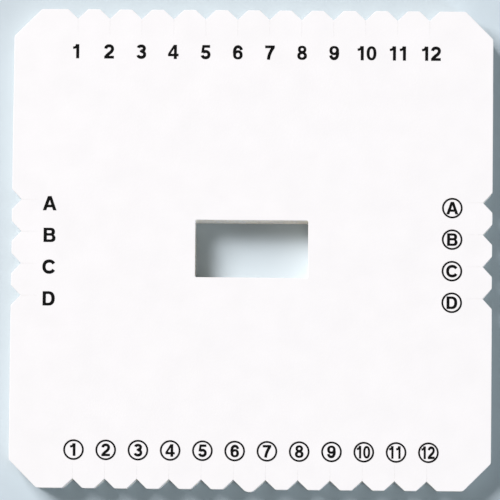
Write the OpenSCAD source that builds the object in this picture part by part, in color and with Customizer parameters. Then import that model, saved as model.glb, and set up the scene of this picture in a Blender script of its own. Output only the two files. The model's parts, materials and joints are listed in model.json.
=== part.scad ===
// Square braiding plate, cut with a die from one sheet of thick foam and printed on its face.
// Slits with V mouths round its edge grip the threads, and the braid goes down through the
// window. The foam between two slits is a finger, which bends on its root.
// The underside is on Z = 0, the face looks to +Z and the plain numbers are along +Y.

/* [Board] */
// Side of the square board
board_w = 150; // [146:1:170]
// Thickness of the foam sheet
board_t = 10; // [8:0.5:12]
// Length that a corner cut takes off each side
corner_cut = 8.7; // [4:0.1:10]
// Rounding at the two ends of a corner cut
corner_r = 1.5; // [0.5:0.1:3]
// Width of the braid window
window_w = 35; // [20:1:60]
// Height of the braid window
window_h = 17.8; // [10:0.2:40]

/* [Slits] */
// Slits along the top edge, and along the bottom edge
long_slits = 12; // [4:2:12]
// Slits along the left edge, and along the right edge
side_slits = 4; // [2:1:4]
// Distance from one slit to the next
slit_pitch = 10; // [8:0.5:10]
// Length of a slit, from its V mouth to the root of the fingers
slit_l = 5; // [3:0.1:5]
// Width of a slit
slit_gap = 0.3; // [0.2:0.05:0.5]
// Width of a V mouth at the edge
mouth_w = 6.2; // [4:0.1:7]
// Depth of a V mouth
mouth_d = 3.1; // [2:0.1:3.2]
// Play between the round root of a finger and the board
root_play = 0.05; // [0.03:0.01:0.1]

/* [Print] */
// Thickness of the ink film
ink_t = 0.05; // [0.03:0.01:0.2]
// Height of the plain numbers and letters
plain_h = 4.45; // [3:0.05:5]
// Height of the numbers and letters in rings
ringed_h = 3.9; // [2.5:0.05:4]
// Width of the digits of a pair in a ring, as a share of their plain width
pair_squeeze = 0.8; // [0.5:0.02:0.8]
// Distance that a pair of digits sits to the left in its ring
pair_shift = 0.2; // [0:0.05:0.4]
// Outer radius of a ring
ring_r = 3.2; // [2.8:0.05:3.3]
// Line width of a ring
ring_line = 0.56; // [0.3:0.02:0.6]
// Least gap between a ring and the figure in it
ring_gap = 0.05; // [0.05:0.01:0.2]
// Middle of the plain numbers, from the top edge
top_inset = 13.35; // [12:0.05:18]
// Spread of the plain numbers, as a share of the slits' spread
top_spread = 1.006; // [0.98:0.001:1.02]
// Distance that the plain numbers sit to the right of their slits
top_shift = 0.08; // [-1:0.02:1]
// Middle of the ringed numbers, from the bottom edge
bottom_inset = 12; // [12:0.05:18]
// Spread of the ringed numbers, as a share of the slits' spread
bottom_spread = 1.002; // [0.98:0.001:1.02]
// Distance that the ringed numbers sit to the right of their slits
bottom_shift = 0.38; // [-1:0.02:1]
// Middle of the plain letters, from the left edge
left_inset = 11.85; // [11.5:0.05:18]
// Spread of the plain letters, as a share of the slits' spread
left_spread = 0.993; // [0.98:0.001:1.02]
// Distance that the plain letters sit below their slits
left_drop = 1.05; // [-1:0.05:2]
// Middle of the ringed letters, from the right edge
right_inset = 12.6; // [12.5:0.05:18]
// Spread of the ringed letters, as a share of the slits' spread
right_spread = 0.985; // [0.98:0.001:1.02]
// Distance that the ringed letters sit below their slits
right_drop = 1.5; // [-1:0.05:2]

/* [Hidden] */
$fn = 64;
foam_colour = "#fbfaf7";
ink_colour = "#161616";
cut_through = 1;

// Finger: root line on Y = 0, tip towards +Y
finger_l = slit_l + mouth_d;
finger_half = (slit_pitch - slit_gap) / 2;
tip_half = (slit_pitch - mouth_w) / 2;
flank_angle = atan(2 * mouth_d / mouth_w);
flank_y = slit_l + slit_gap / 2 * tan(flank_angle);
root_r = board_t / 2;
tip_r = tip_half / sin(flank_angle);
arc_steps = 8;

// Letters along the left edge, and along the right edge
side_marks = ["A", "B", "C", "D"];

// Shapes of the printed figures, on a height of 1
digit_step = 0.7;
oval_steps = 24;
oval_power = 0.88;
stem_pen = 0.215;
round_pen = 0.215;
bar_pen = 0.19;
flag_pen = 0.17;
letter_pen = 0.225;

function two_figures(i) = str(i < 10 ? "0" : "", i);
function finger_name(edge, i) = str("finger_", edge, "_", two_figures(i));
function finger_names(edge, slits) = [for (i = [1:slits - 1]) finger_name(edge, i)];

// Points

function turned(p, a) = [p.x * cos(a) - p.y * sin(a), p.x * sin(a) + p.y * cos(a)];

function arc(centre, r, from, to) =
    [for (k = [0:arc_steps]) let (a = from + (to - from) * k / arc_steps) centre + r * [cos(a), sin(a)]];

// Both ends of the corner cut at the right of the top edge
function corner_points() =
    let (
        near = board_w / 2 - corner_r,
        far = board_w / 2 - corner_cut - corner_r * (sqrt(2) - 1)
    )
    concat(arc([near, far], corner_r, 0, 45), arc([far, near], corner_r, 45, 90));

function board_points() = [for (q = [0:3]) for (p = corner_points()) turned(p, 90 * q)];

function slit_offset(i, slits) = (i - (slits + 1) / 2) * slit_pitch;

// Board and fingers

// Puts what is drawn about a root line on one edge: 0 top, 90 left, 180 bottom, -90 right
module on_edge(turn) {
    rotate(turn)
        translate([0, board_w / 2 - finger_l, 0])
            children();
}

// Bay of a row of fingers, with the outer flanks of its first and last V mouth
module bay_plan(slits) {
    last_slit = slit_offset(slits, slits);
    side = [
        [last_slit + slit_gap / 2, 0],
        [last_slit + slit_gap / 2, flank_y],
        [last_slit + mouth_w / 2, finger_l],
        [last_slit + mouth_w / 2, finger_l + cut_through]
    ];
    polygon(concat(side, [for (k = [len(side) - 1:-1:0]) [-side[k].x, side[k].y]]));
}

module root_cylinder(r, length) {
    translate([0, 0, board_t / 2])
        rotate([0, 90, 0])
            cylinder(r = r, h = length, center = true);
}

module edge_cut(slits) {
    row_w = (slits - 1) * slit_pitch + slit_gap;
    translate([0, 0, -cut_through])
        linear_extrude(board_t + 2 * cut_through)
            bay_plan(slits);
    root_cylinder(root_r + root_play, row_w);
}

module foam_board() {
    color(foam_colour)
        difference() {
            linear_extrude(board_t)
                difference() {
                    polygon(board_points());
                    square([window_w, window_h], center = true);
                }
            for (turn = [0, 180])
                on_edge(turn) edge_cut(long_slits);
            for (turn = [90, -90])
                on_edge(turn) edge_cut(side_slits);
        }
}

module finger(round_tip = false) {
    tip_centre = [0, finger_l - tip_r * cos(flank_angle)];
    tip = round_tip
        ? arc(tip_centre, tip_r, 90 - flank_angle, 90 + flank_angle)
        : [[tip_half, finger_l], [-tip_half, finger_l]];
    linear_extrude(board_t)
        polygon(concat(
            [[-finger_half, 0], [finger_half, 0], [finger_half, flank_y]],
            tip,
            [[-finger_half, flank_y]]
        ));
    intersection() {
        root_cylinder(root_r, 2 * finger_half);
        translate([-slit_pitch / 2, -board_t, -cut_through])
            cube([slit_pitch, board_t, board_t + 2 * cut_through]);
    }
}

// Place of finger i along its edge, from the middle of the row
function finger_offset(i, slits) = (i - slits / 2) * slit_pitch;

module finger_top(i) {
    color(foam_colour)
        on_edge(0)
            translate([finger_offset(i, long_slits), 0, 0]) finger();
}

// The middle finger of the bottom edge has a longer, round tip
module finger_bottom(i) {
    color(foam_colour)
        on_edge(180)
            translate([-finger_offset(i, long_slits), 0, 0]) finger(round_tip = 2 * i == long_slits);
}

module finger_left(i) {
    color(foam_colour)
        on_edge(90)
            translate([-finger_offset(i, side_slits), 0, 0]) finger();
}

module finger_right(i) {
    color(foam_colour)
        on_edge(-90)
            translate([finger_offset(i, side_slits), 0, 0]) finger();
}

// Figures: each is a set of areas less a set of holes, on a height of 1, about X = 0

function box(x0, y0, x1, y1) = [[x0, y0], [x1, y0], [x1, y1], [x0, y1]];

// A power under 1 makes an oval a little square, as on bold plain type
function fuller(v) = sign(v) * pow(abs(v), oval_power);

function on_oval(centre, r, a) = [centre.x + r.x * fuller(cos(a)), centre.y + r.y * fuller(sin(a))];

function oval(centre, r) = [for (k = [0:oval_steps - 1]) on_oval(centre, r, 360 * k / oval_steps)];

function sweep(centre, r, from, to) =
    let (steps = ceil(abs(to - from) * oval_steps / 360))
    [for (k = [0:steps]) on_oval(centre, r, from + (to - from) * k / steps)];

// Straight at the left and round at the right, as a bowl of B or D
function bowl(left, straight, right, low, high) = concat(
    [[left, high], [left, low]],
    sweep([straight, (low + high) / 2], [right - straight, (high - low) / 2], -90, 90)
);

function direction(path, k) =
    let (step = path[min(k + 1, len(path) - 1)] - path[max(k - 1, 0)])
    step / norm(step);

function beside(path, k, side) = let (d = direction(path, k)) path[k] + side * [-d.y, d.x];

// Area that a pen with square ends covers along a path
function stroke(path, pen) = concat(
    [for (k = [0:len(path) - 1]) beside(path, k, pen / 2)],
    [for (k = [len(path) - 1:-1:0]) beside(path, k, -pen / 2)]
);

// Half a turn about the middle of a figure makes a 9 of a 6
function upside_down(areas) = [for (points = areas) [for (p = points) [-p.x, 1 - p.y]]];

function figure_areas(f) =
    f == "0" ? [oval([0, 0.5], [0.345, 0.5])] :
    f == "1" ? [
        box(-0.055, 0, 0.155, 1),
        stroke([[-0.275, 0.75], [-0.15, 0.765], [-0.05, 0.83], [0.01, 0.99]], flag_pen)
    ] :
    f == "2" ? [
        stroke(concat(
            sweep([0, 0.69], [0.235, 0.212], 178, -25),
            [[0.13, 0.46], [-0.03, 0.335], [-0.17, 0.205], [-0.235, 0.08]]
        ), stem_pen),
        box(-0.34, 0, 0.335, bar_pen)
    ] :
    f == "3" ? [
        stroke(sweep([0, 0.732], [0.212, 0.17], 168, -90), round_pen),
        stroke(sweep([0, 0.302], [0.238, 0.203], 90, -168), round_pen),
        box(-0.1, 0.455, 0.02, 0.605)
    ] :
    f == "4" ? [
        [[0.03, 1], [-0.375, 0.37], [-0.375, 0.195], [0.365, 0.195], [0.365, 0.37], [0.24, 0.37], [0.24, 1]],
        box(0.03, 0, 0.24, 0.3)
    ] :
    f == "5" ? [
        box(-0.225, 1 - bar_pen, 0.31, 1),
        [[-0.225, 0.99], [-0.055, 0.99], [-0.122, 0.45], [-0.305, 0.45]],
        stroke(sweep([0, 0.325], [0.238, 0.223], 142, -168), round_pen)
    ] :
    f == "6" ? [
        oval([0.01, 0.325], [0.335, 0.325]),
        stroke(sweep([0.02, 0.5], [0.252, 0.4], 190, 22), round_pen)
    ] :
    f == "7" ? [
        box(-0.335, 1 - bar_pen, 0.335, 1),
        stroke([[0.25, 0.9], [0.1, 0.66], [-0.02, 0.4], [-0.08, 0.18], [-0.1, 0]], stem_pen)
    ] :
    f == "8" ? [oval([0, 0.735], [0.295, 0.265]), oval([0, 0.285], [0.34, 0.285])] :
    f == "9" ? upside_down(figure_areas("6")) :
    f == "A" ? [
        [
            [-0.48, 0], [-0.24, 0], [-0.175, 0.21], [0.175, 0.21],
            [0.24, 0], [0.48, 0], [0.13, 1], [-0.13, 1]
        ]
    ] :
    f == "B" ? [bowl(-0.4, 0.1, 0.395, 0.45, 1), bowl(-0.4, 0.12, 0.435, 0, 0.55)] :
    f == "C" ? [stroke(sweep([0.02, 0.5], [0.365, 0.393], 30, 330), letter_pen)] :
    f == "D" ? [bowl(-0.41, 0.025, 0.44, 0, 1)] : [];

function figure_holes(f) =
    f == "0" ? [oval([0, 0.5], [0.135, 0.325])] :
    f == "4" ? [[[0.04, 0.37], [0.04, 0.745], [-0.19, 0.37]]] :
    f == "6" ? [oval([0.01, 0.318], [0.128, 0.15])] :
    f == "8" ? [oval([0, 0.735], [0.105, 0.1]), oval([0, 0.29], [0.133, 0.12])] :
    f == "9" ? upside_down(figure_holes("6")) :
    f == "A" ? [[[-0.11, 0.39], [0.11, 0.39], [0, 0.74]]] :
    f == "B" ? [bowl(-0.172, 0.07, 0.165, 0.622, 0.82), bowl(-0.172, 0.09, 0.2, 0.18, 0.445)] :
    f == "D" ? [bowl(-0.182, -0.015, 0.205, bar_pen, 1 - bar_pen)] : [];

// A figure in its real size, about its own middle
function sized(points, w, h) = [for (p = points) [p.x * w, (p.y - 0.5) * h]];

module figure(f, w, h) {
    difference() {
        for (points = figure_areas(f))
            polygon(sized(points, w, h));
        for (points = figure_holes(f))
            polygon(sized(points, w, h));
    }
}

// One number or letter, about its own middle
module label(mark, w, h) {
    count = len(mark);
    for (k = [0:count - 1])
        translate([(k - (count - 1) / 2) * digit_step * w, 0])
            figure(mark[k], w, h);
}

module ink_at(x, y) {
    color(ink_colour)
        translate([x, y, board_t])
            linear_extrude(ink_t)
                children();
}

// Print

function number_x(i, spread, shift) = slit_offset(i, long_slits) * spread + shift;
function letter_y(i, spread, drop) = -slit_offset(i, side_slits) * spread - drop;

module at_bottom_number(i) {
    ink_at(number_x(i, bottom_spread, bottom_shift), bottom_inset - board_w / 2)
        children();
}

module at_right_letter(i) {
    ink_at(board_w / 2 - right_inset, letter_y(i, right_spread, right_drop))
        children();
}

module ring_plan() {
    difference() {
        circle(ring_r);
        circle(ring_r - ring_line);
    }
}

// A number or letter that stays clear of the ring round it
module ringed_label(mark, w) {
    intersection() {
        translate([len(mark) > 1 ? -pair_shift : 0, 0])
            label(mark, w, ringed_h);
        circle(ring_r - ring_line - ring_gap);
    }
}

module top_numbers() {
    for (i = [1:long_slits])
        ink_at(number_x(i, top_spread, top_shift), board_w / 2 - top_inset)
            label(str(i), plain_h, plain_h);
}

module bottom_numbers() {
    for (i = [1:long_slits])
        at_bottom_number(i) ringed_label(str(i), ringed_h * (i < 10 ? 1 : pair_squeeze));
}

module bottom_rings() {
    for (i = [1:long_slits])
        at_bottom_number(i) ring_plan();
}

module left_letters() {
    for (i = [1:side_slits])
        ink_at(left_inset - board_w / 2, letter_y(i, left_spread, left_drop))
            label(side_marks[i - 1], plain_h, plain_h);
}

module right_letters() {
    for (i = [1:side_slits])
        at_right_letter(i) ringed_label(side_marks[i - 1], ringed_h);
}

module right_rings() {
    for (i = [1:side_slits])
        at_right_letter(i) ring_plan();
}

foam_board();
for (i = [1:long_slits - 1]) {
    finger_top(i);
    finger_bottom(i);
}
for (i = [1:side_slits - 1]) {
    finger_left(i);
    finger_right(i);
}
top_numbers();
bottom_numbers();
bottom_rings();
left_letters();
right_letters();
right_rings();
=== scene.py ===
import json
import math
from collections import namedtuple

import bmesh
import bpy
from mathutils import Euler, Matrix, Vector, noise


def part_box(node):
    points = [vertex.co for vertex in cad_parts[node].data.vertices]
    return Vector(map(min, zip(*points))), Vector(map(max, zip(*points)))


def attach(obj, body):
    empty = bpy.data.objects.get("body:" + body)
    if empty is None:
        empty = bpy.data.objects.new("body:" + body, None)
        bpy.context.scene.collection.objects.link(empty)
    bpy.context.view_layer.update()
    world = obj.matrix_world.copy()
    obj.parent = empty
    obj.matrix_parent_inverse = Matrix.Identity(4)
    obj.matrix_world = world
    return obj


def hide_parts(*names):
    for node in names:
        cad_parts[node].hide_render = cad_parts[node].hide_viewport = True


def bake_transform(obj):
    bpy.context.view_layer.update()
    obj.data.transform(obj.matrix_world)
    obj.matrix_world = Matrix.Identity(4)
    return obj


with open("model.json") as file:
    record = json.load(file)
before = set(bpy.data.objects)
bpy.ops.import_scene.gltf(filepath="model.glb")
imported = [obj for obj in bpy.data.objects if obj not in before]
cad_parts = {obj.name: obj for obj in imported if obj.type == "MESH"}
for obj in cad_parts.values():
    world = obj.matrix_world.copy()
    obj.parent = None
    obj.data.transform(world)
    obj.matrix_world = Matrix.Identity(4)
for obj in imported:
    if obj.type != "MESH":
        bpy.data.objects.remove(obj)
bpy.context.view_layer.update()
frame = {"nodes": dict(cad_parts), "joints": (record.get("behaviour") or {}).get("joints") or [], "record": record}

MM = 0.001

# Sizes of the foam plate that the frame gives

_, board_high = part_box("foam_board")
HALF = board_high.x
THICK = board_high.z
HINGES = frame["joints"]
INK_NODES = [n for n in frame["record"]["behaviour"]["bodies"]["plate"] if n != "foam_board"]
# The first two hinges are neighbours along the +Y edge
first_root, next_root = (Vector(hinge["pos_m"]) for hinge in HINGES[:2])
PITCH = (next_root - first_root).length
ROOT = first_root.y

# Sizes of the die cuts

CORNER_CUT = 8.7 * MM
CORNER_ROUND = 1.5 * MM
MOUTH_W = 6.2 * MM
MOUTH_D = 3.1 * MM
MOUTH_ROUND = 0.8 * MM
APEX_ROUND = 0.2 * MM
WINDOW_W = 35 * MM
WINDOW_H = 17.8 * MM
WINDOW_ROUND = 0.5 * MM
# A knife slit in foam closes again, so its two sides all but touch
SLIT_GAP = 0.01 * MM
# Foam is cut while the die presses it, so its edges come out soft, its sides a little hollow and sloping
# towards the middle of the plate on the way down, and its straight cuts a little off the line
EDGE_SOFT = 0.15 * MM
APEX_SOFT = 0.04 * MM
SIDE_HOLLOW = 0.15 * MM
SIDE_LEAN = 0.25 * MM
STRAY = 0.16 * MM
STRAY_L = 22 * MM

# Fineness of the meshes

ARC_STEPS = 7
SOFT_STEPS = 4
SIDE_STEPS = 6
SIDE_STEP = 0.6 * MM
WELD = 0.001 * MM
SHARP_ANGLE = math.radians(50)
# An inset reaches at most this many times as far at a corner of an outline as along its sides
MITRE_MAX = 2
# A mesh face whose normal is this near to upright belongs to the foam's face or underside
UPRIGHT = 0.99999


# Materials

# Sockets of a Mix node that mixes two colours
MIX_SHARE, MIX_FIRST, MIX_SECOND, MIX_COLOUR = 0, 6, 7, 2


def linear(hex_colour):
    """A colour written as sRGB hex, as linear RGBA."""
    channels = [int(hex_colour[i:i + 2], 16) / 255 for i in (1, 3, 5)]
    return [c / 12.92 if c <= 0.04045 else ((c + 0.055) / 1.055) ** 2.4 for c in channels] + [1]


def per(size):
    """Texture scale for a pattern of this size in metres."""
    return 1 / size


def add(tree, kind, settings=None, links=None):
    """Adds a node: settings are its own properties or values of its inputs, and links feed its inputs."""
    node = tree.nodes.new(kind)
    for key, value in (settings or {}).items():
        if isinstance(key, str) and hasattr(node, key):
            setattr(node, key, value)
        else:
            node.inputs[key].default_value = value
    for key, source in (links or {}).items():
        tree.links.new(source, node.inputs[key])
    return node


def empty_material(name):
    """A material with no nodes yet: returns it and its node tree."""
    material = bpy.data.materials.new(name)
    material.use_nodes = True
    material.node_tree.nodes.clear()
    return material, material.node_tree


def skived_foam():
    """Closed-cell EVA foam, split from a block with a band knife: near white and matt, with a skin of
    fine cells and faint clouds."""
    material, tree = empty_material("skived_eva_foam")
    at = add(tree, "ShaderNodeTexCoord").outputs["Object"]
    clouds = add(tree, "ShaderNodeTexNoise", {"Scale": per(9 * MM), "Detail": 3}, {"Vector": at})
    share = add(
        tree, "ShaderNodeMapRange", {"From Min": 0.3, "From Max": 0.7}, {"Value": clouds.outputs["Fac"]}
    )
    colour = add(
        tree, "ShaderNodeMix",
        {"data_type": "RGBA", MIX_FIRST: linear("#f9f8f8"), MIX_SECOND: linear("#fcfbfb")},
        {MIX_SHARE: share.outputs["Result"]},
    )
    # Real cells are about 0.15 mm across, and are drawn coarser to show
    cells = add(tree, "ShaderNodeTexVoronoi", {"Scale": per(0.5 * MM)}, {"Vector": at})
    skin = add(
        tree, "ShaderNodeBump", {"Strength": 0.25, "Distance": 0.05 * MM},
        {"Height": cells.outputs["Distance"]},
    )
    shader = add(
        tree, "ShaderNodeBsdfPrincipled", {"Roughness": 0.9, "IOR": 1.48, "Specular IOR Level": 0.1},
        {"Base Color": colour.outputs[MIX_COLOUR], "Normal": skin.outputs["Normal"]},
    )
    add(tree, "ShaderNodeOutputMaterial", {}, {"Surface": shader.outputs["BSDF"]})
    return material


def die_cut_foam():
    """The cut side of the same foam: a little creamier, with opened cells, the fine upright drag lines of
    the blade, and light that goes a little way in. Its colour holds painted shade, darker in the hollows of the
    cells and drag lines."""
    material, tree = empty_material("die_cut_eva_foam")
    at = add(tree, "ShaderNodeTexCoord").outputs["Object"]
    # Real opened cells are about 0.2 mm across, and are drawn coarser to show
    cells = add(tree, "ShaderNodeTexVoronoi", {"Scale": per(0.7 * MM)}, {"Vector": at})
    upright = add(
        tree, "ShaderNodeMapping", {"Scale": (per(1.2 * MM), per(1.2 * MM), per(14 * MM))}, {"Vector": at}
    )
    drag = add(tree, "ShaderNodeTexNoise", {"Scale": 1, "Detail": 3}, {"Vector": upright.outputs["Vector"]})
    relief = add(
        tree, "ShaderNodeMath", {"operation": "MULTIPLY_ADD", 1: 1.2},
        {0: drag.outputs["Fac"], 2: cells.outputs["Distance"]},
    )
    # Painted shade: the side's creamy colour turns darker where the relief is low, in the cells' hollows and the
    # drag lines' grooves
    relief_shade_share = add(
        tree, "ShaderNodeMapRange", {"From Min": 0.6, "From Max": 1.4}, {"Value": relief.outputs["Value"]}
    )
    colour = add(
        tree, "ShaderNodeMix",
        {"data_type": "RGBA", MIX_FIRST: linear("#e8e1d7"), MIX_SECOND: linear("#f5f0e9")},
        {MIX_SHARE: relief_shade_share.outputs["Result"]},
    )
    skin = add(
        tree, "ShaderNodeBump", {"Strength": 0.7, "Distance": 0.12 * MM}, {"Height": relief.outputs["Value"]}
    )
    shader = add(
        tree, "ShaderNodeBsdfPrincipled",
        {
            "Roughness": 0.85, "IOR": 1.48, "Specular IOR Level": 0.2, "Subsurface Weight": 0.5,
            "Subsurface Radius": (1, 0.92, 0.7), "Subsurface Scale": 3 * MM,
        },
        {"Base Color": colour.outputs[MIX_COLOUR], "Normal": skin.outputs["Normal"]},
    )
    add(tree, "ShaderNodeOutputMaterial", {}, {"Surface": shader.outputs["BSDF"]})
    return material


def screen_ink():
    """Black screen-print ink, dried on foam: a dull, dense film that takes up the cells under it."""
    material, tree = empty_material("screen_print_ink")
    at = add(tree, "ShaderNodeTexCoord").outputs["Object"]
    cover = add(tree, "ShaderNodeTexNoise", {"Scale": per(0.8 * MM), "Detail": 3}, {"Vector": at})
    share = add(
        tree, "ShaderNodeMapRange", {"From Min": 0.35, "From Max": 0.7}, {"Value": cover.outputs["Fac"]}
    )
    colour = add(
        tree, "ShaderNodeMix",
        {"data_type": "RGBA", MIX_FIRST: linear("#080808"), MIX_SECOND: linear("#141313")},
        {MIX_SHARE: share.outputs["Result"]},
    )
    gloss = add(tree, "ShaderNodeMapRange", {"To Min": 0.6, "To Max": 0.8}, {"Value": cover.outputs["Fac"]})
    # The foam's cells, drawn as coarse as on the bare face
    cells = add(tree, "ShaderNodeTexVoronoi", {"Scale": per(0.5 * MM)}, {"Vector": at})
    skin = add(
        tree, "ShaderNodeBump", {"Strength": 0.2, "Distance": 0.04 * MM},
        {"Height": cells.outputs["Distance"]},
    )
    shader = add(
        tree, "ShaderNodeBsdfPrincipled", {"IOR": 1.5, "Specular IOR Level": 0.05},
        {
            "Base Color": colour.outputs[MIX_COLOUR], "Roughness": gloss.outputs["Result"],
            "Normal": skin.outputs["Normal"],
        },
    )
    add(tree, "ShaderNodeOutputMaterial", {}, {"Surface": shader.outputs["BSDF"]})
    return material


def studio_paper():
    """Pale blue-grey background paper: dull, with a slight cloudiness."""
    material, tree = empty_material("background_paper")
    at = add(tree, "ShaderNodeTexCoord").outputs["Object"]
    clouds = add(tree, "ShaderNodeTexNoise", {"Scale": per(14 * MM), "Detail": 4}, {"Vector": at})
    share = add(
        tree, "ShaderNodeMapRange", {"From Min": 0.3, "From Max": 0.7}, {"Value": clouds.outputs["Fac"]}
    )
    colour = add(
        tree, "ShaderNodeMix",
        {"data_type": "RGBA", MIX_FIRST: linear("#cad7de"), MIX_SECOND: linear("#ccd9e0")},
        {MIX_SHARE: share.outputs["Result"]},
    )
    shader = add(
        tree, "ShaderNodeBsdfPrincipled", {"Roughness": 0.9, "Specular IOR Level": 0.1},
        {"Base Color": colour.outputs[MIX_COLOUR]},
    )
    add(tree, "ShaderNodeOutputMaterial", {}, {"Surface": shader.outputs["BSDF"]})
    return material


# A foam piece's two materials, in the order of its slots
FOAM = [skived_foam(), die_cut_foam()]
FACE_SLOT, CUT_SLOT = 0, 1
INK = screen_ink()


# Outlines of the cut foam: points with the softness of the edge, and the hollow and lean of the side there

Point = namedtuple("Point", "u v soft hollow lean")
Corner = namedtuple("Corner", "u v bend soft hollow lean")


def outer_corner(u, v, bend):
    return Corner(u, v, bend, EDGE_SOFT, SIDE_HOLLOW, SIDE_LEAN)


def apex_corner(u, v):
    """The inner end of a V mouth, where its slit starts."""
    return Corner(u, v, APEX_ROUND, APEX_SOFT, 0, 0)


def root_corner(u, v):
    """The blind end of a slit, level with the roots of the fingers."""
    return Corner(u, v, 0, 0, 0, 0)


def rounded(corners):
    """The closed outline through these corners, each with an arc of its own bend radius."""
    points = []
    for k, c in enumerate(corners):
        here = Vector((c.u, c.v))
        back = (Vector(corners[k - 1][:2]) - here).normalized()
        ahead = (Vector(corners[(k + 1) % len(corners)][:2]) - here).normalized()
        if c.bend == 0:
            points.append(Point(c.u, c.v, c.soft, c.hollow, c.lean))
            continue
        inside = back.angle(ahead)
        reach = c.bend / math.tan(inside / 2)
        middle = here + (back + ahead).normalized() * (c.bend / math.sin(inside / 2))
        spoke = here + back * reach - middle
        swing = back.angle_signed(ahead)
        turn = math.copysign(math.pi - inside, swing)
        for step in range(ARC_STEPS + 1):
            a = turn * step / ARC_STEPS
            p = middle + Vector((
                spoke.x * math.cos(a) - spoke.y * math.sin(a),
                spoke.x * math.sin(a) + spoke.y * math.cos(a),
            ))
            points.append(Point(p.x, p.y, c.soft, c.hollow, c.lean))
    return points


def spaced(points):
    """The same open line, with points no further apart than the step that bending needs."""
    line = [points[0]]
    for a, b in zip(points, points[1:]):
        parts = math.ceil(math.hypot(b.u - a.u, b.v - a.v) / SIDE_STEP)
        for k in range(1, parts + 1):
            line.append(Point(*(x + (y - x) * k / parts for x, y in zip(a, b))))
    return line


def mirrored(corners):
    return [c._replace(u=-c.u) for c in reversed(corners)]


def inward(points, k):
    """Direction into the foam at a point of an outline, long enough to inset both its sides by one."""
    a, b, c = (Vector(points[i][:2]) for i in (k - 1, k, (k + 1) % len(points)))
    left = [Vector((a.y - b.y, b.x - a.x)).normalized(), Vector((b.y - c.y, c.x - b.x)).normalized()]
    middle = (left[0] + left[1]).normalized()
    return middle / max(middle.dot(left[0]), 1 / MITRE_MAX)


def finger_outline(length):
    """Outline of a finger: its root line is on v = 0, and a finger longer than the edge has a round tip."""
    edge = HALF - ROOT
    side = PITCH / 2 - SLIT_GAP / 2
    mouth = edge - MOUTH_D + SLIT_GAP / 2
    tip = PITCH / 2 - MOUTH_W / 2
    half = [root_corner(side, 0), apex_corner(side, mouth)]
    if length > edge + SLIT_GAP:
        # The mouths' sides slope at 45 degrees, and the round of the tip starts where they pass the edge
        tip_bend = (length - edge) / (1 - math.sqrt(0.5))
        points = rounded(half + [outer_corner(0, edge + tip, tip_bend)] + mirrored(half))
    else:
        half.append(outer_corner(tip, edge, MOUTH_ROUND))
        points = rounded(half + mirrored(half))
    right = spaced(points[:len(points) // 2])
    return right + mirrored(right)


def board_side(fingers):
    """Corners of one edge of the board, from its right end to its left end, round the bay of its fingers."""
    last_slit = fingers * PITCH / 2
    side = last_slit + SLIT_GAP / 2
    half = [
        outer_corner(HALF - CORNER_CUT, HALF, CORNER_ROUND),
        outer_corner(last_slit + MOUTH_W / 2, HALF, MOUTH_ROUND),
        apex_corner(side, HALF - MOUTH_D + SLIT_GAP / 2),
        root_corner(side, ROOT),
    ]
    return half + mirrored(half)


def window_outline():
    """Outline of the window: its long sides slope in on the way down, and its short sides stand straight."""
    u, v = WINDOW_W / 2, WINDOW_H / 2
    turns = rounded([outer_corner(x, y, WINDOW_ROUND) for x, y in [(-u, v), (u, v), (u, -v), (-u, -v)]])
    points = spaced(turns + turns[:1])[:-1]
    return [p._replace(lean=-SIDE_LEAN * abs(inward(points, k).y)) for k, p in enumerate(points)]


# Foam slabs: an outline carried round the soft edge of the face, down the side and under


def side_profile(point):
    """(inset, height) pairs from the face to the underside."""
    upper = []
    for k in range(SOFT_STEPS + 1):
        a = math.pi / 2 * k / SOFT_STEPS
        upper.append((point.soft * (1 - math.sin(a)), THICK - point.soft * (1 - math.cos(a))))
    side = []
    for k in range(1, SIDE_STEPS):
        s = 1 - 2 * k / SIDE_STEPS
        side.append((point.hollow * (1 - s * s), THICK / 2 + s * (THICK / 2 - point.soft)))
    lower = [(inset, THICK - z) for inset, z in reversed(upper)]
    return [(inset + point.lean * (1 - z / THICK), z) for inset, z in upper + side + lower]


def stray(point, place):
    """How far the die's cut is off the line here: nothing in a slit, where both sides have to meet."""
    wave = noise.noise(Vector(place(point.u, point.v, 0)) / STRAY_L)
    return STRAY * (1 + wave) / 2 * point.hollow / SIDE_HOLLOW


def side_rings(bm, points, place):
    """Adds the rings of vertices and the side faces of one outline, and returns the first and last ring."""
    profiles = [side_profile(p) for p in points]
    into = [inward(points, k) for k in range(len(points))]
    off = [stray(p, place) for p in points]
    rings = []
    for level in range(len(profiles[0])):
        ring = []
        for p, d, start, profile in zip(points, into, off, profiles):
            inset, z = profile[level]
            inset += start
            ring.append(bm.verts.new(place(p.u + d.x * inset, p.v + d.y * inset, z)))
        rings.append(ring)
    around = [(k, (k + 1) % len(points)) for k in range(len(points))]
    # The cut side starts halfway round each soft edge
    skin_steps = SOFT_STEPS // 2
    for level, (upper, lower) in enumerate(zip(rings, rings[1:])):
        cut = skin_steps <= level < len(rings) - 1 - skin_steps
        for i, j in around:
            face = bm.faces.new((upper[i], lower[i], lower[j], upper[j]))
            face.material_index = CUT_SLOT if cut else FACE_SLOT
    return rings[0], rings[-1]


def foam_piece(name, bm):
    """A piece of foam from a closed mesh: smooth, but crisp where its sides meet its face and underside."""
    bmesh.ops.remove_doubles(bm, verts=bm.verts, dist=WELD)
    bmesh.ops.dissolve_degenerate(bm, edges=bm.edges, dist=WELD / 2)
    bmesh.ops.recalc_face_normals(bm, faces=bm.faces)
    for face in bm.faces:
        face.smooth = True
    for edge in bm.edges:
        flat = [abs(face.normal.z) > UPRIGHT for face in edge.link_faces]
        edge.smooth = flat[0] == flat[1] and edge.calc_face_angle() < SHARP_ANGLE
    mesh = bpy.data.meshes.new(name)
    bm.to_mesh(mesh)
    bm.free()
    piece = bpy.data.objects.new(name, mesh)
    bpy.context.scene.collection.objects.link(piece)
    for material in FOAM:
        mesh.materials.append(material)
    return piece


def loop_edges(bm, ring):
    return [bm.edges.get((a, b)) for a, b in zip(ring, ring[1:] + ring[:1])]


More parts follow.
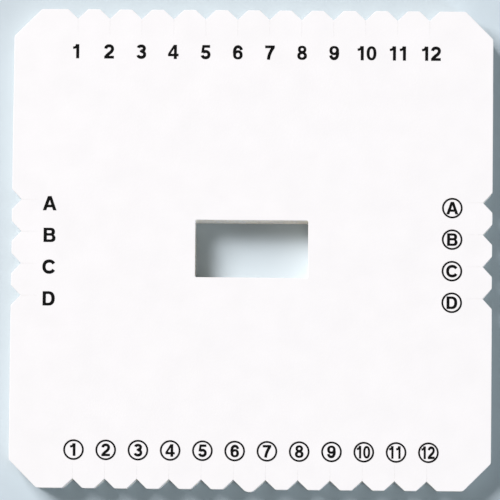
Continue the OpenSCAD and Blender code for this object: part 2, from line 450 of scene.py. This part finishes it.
def out_of(axis):
    """Direction out of the board's edge for a hinge along this axis."""
    return Vector((0, 0, 1)).cross(Vector(axis))


# Pieces of the plate


def make_core():
    """The board without its fingers."""
    edges = {}
    for hinge in HINGES:
        edges.setdefault(tuple(hinge["axis"]), []).append(hinge)
    corners = []
    for axis in sorted(edges, key=lambda a: math.atan2(a[1], a[0])):
        along, out = Vector(axis), out_of(axis)
        for c in board_side(len(edges[axis])):
            p = along * c.u + out * c.v
            corners.append(c._replace(u=p.x, v=p.y))

    def place(u, v, z):
        return u, v, z

    outline = rounded(corners)
    bm = bmesh.new()
    outer = side_rings(bm, spaced(outline + outline[:1])[:-1], place)
    hole = side_rings(bm, window_outline(), place)
    for up, rim, window in ((1, outer[0], hole[0]), (-1, outer[1], hole[1])):
        rim_edges = loop_edges(bm, rim) + loop_edges(bm, window)
        bmesh.ops.triangle_fill(bm, use_beauty=True, edges=rim_edges, normal=(0, 0, up))
    core = foam_piece("foam_core", bm)
    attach(core, "plate")
    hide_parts("foam_board")


def make_finger(hinge):
    """One finger, which meets the board at its root line."""
    node = hinge["child"]
    pivot, along, out = Vector(hinge["pos_m"]), Vector(hinge["axis"]), out_of(hinge["axis"])
    root = Vector((pivot.x, pivot.y, 0))

    def place(u, v, z):
        return root + along * u + out * v + Vector((0, 0, z))

    low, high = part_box(node)
    length = max((low - root).dot(out), (high - root).dot(out))
    points = finger_outline(length)
    bm = bmesh.new()
    face, underside = side_rings(bm, points, place)
    last = len(points) - 1
    for i in range(len(points) // 2 - 1):
        for ring in (face, underside):
            bm.faces.new((ring[i], ring[i + 1], ring[last - i - 1], ring[last - i]))
    finger = foam_piece("foam_" + node, bm)
    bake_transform(finger)
    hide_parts(node)


def ink_print():
    """The printed numbers, letters and rings are the frame's own nodes, in ink."""
    for node in INK_NODES:
        slots = frame["nodes"][node].data.materials
        slots.clear()
        slots.append(INK)


# Camera, light and floor

# The camera looks down on the plate, from a little in front of it and to its right
CAMERA_PLACE = Vector((38.65, -136.85, 1600.7)) * MM
CAMERA_TURN = [math.radians(a) for a in (4.918, 1.360, 0.577)]
# Focal length and width of the sensor, which Blender takes in millimetres
LENS = 369.13
SENSOR_W = 36

# Levels of light on the plate's face. The key is so wide that it gives a little less than is set here,
# and together they come to about 1, at which a colour shows as it is written
KEY_LEVEL = 0.875
CARD_LEVEL = 0.08
FILL_LEVEL = 0.155
KEY_COLOUR = "#fffbfc"
FILL_COLOUR = "#f6fcfc"
CARD_COLOUR = "#e6f3ff"
BACKDROP_COLOUR = "#dde7ec"
# Where the softboxes stand, seen from the plate, and their sizes, in metres
KEY_WAY = Vector((-0.537, 0.475, 0.697)).normalized()
KEY_DISTANCE = 8.0
KEY_SIDE = 4.0
CARD_WAY = Vector((0.79, -0.56, 0.25)).normalized()
CARD_DISTANCE = 2.0
CARD_SIDE = 0.5
FLOOR_SIDE = 6.0


def make_camera():
    data = bpy.data.cameras.new("camera")
    data.lens = LENS
    data.sensor_width = SENSOR_W
    camera = bpy.data.objects.new("camera", data)
    camera.location = CAMERA_PLACE
    camera.rotation_euler = Euler(CAMERA_TURN)
    bpy.context.scene.collection.objects.link(camera)
    bpy.context.scene.camera = camera


def make_softbox(name, way, distance, side, level, colour):
    """A square softbox that looks at the plate from this way and lights its face to this level."""
    data = bpy.data.lights.new(name, "AREA")
    data.shape = "SQUARE"
    data.size = side
    # The lamp's watts for this level, where level 1 is pi watts a square metre on the face
    data.energy = level * (math.pi * distance) ** 2 / way.z
    data.color = linear(colour)[:3]
    lamp = bpy.data.objects.new(name, data)
    lamp.location = way * distance
    lamp.rotation_euler = way.to_track_quat("Z", "Y").to_euler()
    lamp.visible_camera = False
    bpy.context.scene.collection.objects.link(lamp)


def make_world():
    """Even fill light from all round, and the pale backdrop that the camera and reflections see."""
    world = bpy.data.worlds.new("studio")
    bpy.context.scene.world = world
    world.use_nodes = True
    tree = world.node_tree
    tree.nodes.clear()
    fill = add(tree, "ShaderNodeBackground", {"Color": linear(FILL_COLOUR), "Strength": FILL_LEVEL})
    backdrop = add(tree, "ShaderNodeBackground", {"Color": linear(BACKDROP_COLOUR), "Strength": 1})
    ray = add(tree, "ShaderNodeLightPath").outputs
    seen = add(
        tree, "ShaderNodeMath", {"operation": "MAXIMUM"}, {0: ray["Is Camera Ray"], 1: ray["Is Glossy Ray"]}
    )
    seen_through = add(
        tree, "ShaderNodeMath", {"operation": "MAXIMUM"},
        {0: seen.outputs["Value"], 1: ray["Is Transmission Ray"]},
    )
    either = add(
        tree, "ShaderNodeMixShader", {},
        {0: seen_through.outputs["Value"], 1: fill.outputs["Background"], 2: backdrop.outputs["Background"]},
    )
    add(tree, "ShaderNodeOutputWorld", {}, {"Surface": either.outputs["Shader"]})


def make_floor():
    side = FLOOR_SIDE / 2
    mesh = bpy.data.meshes.new("floor")
    corners = [(-side, -side, 0), (side, -side, 0), (side, side, 0), (-side, side, 0)]
    mesh.from_pydata(corners, [], [(0, 1, 2, 3)])
    floor = bpy.data.objects.new("floor", mesh)
    mesh.materials.append(studio_paper())
    bpy.context.scene.collection.objects.link(floor)


make_camera()
make_core()
for each in HINGES:
    make_finger(each)
ink_print()
make_softbox("key_softbox", KEY_WAY, KEY_DISTANCE, KEY_SIDE, KEY_LEVEL, KEY_COLOUR)
make_softbox("side_card", CARD_WAY, CARD_DISTANCE, CARD_SIDE, CARD_LEVEL, CARD_COLOUR)
make_world()
make_floor()
bpy.context.scene.view_settings.view_transform = "Standard"
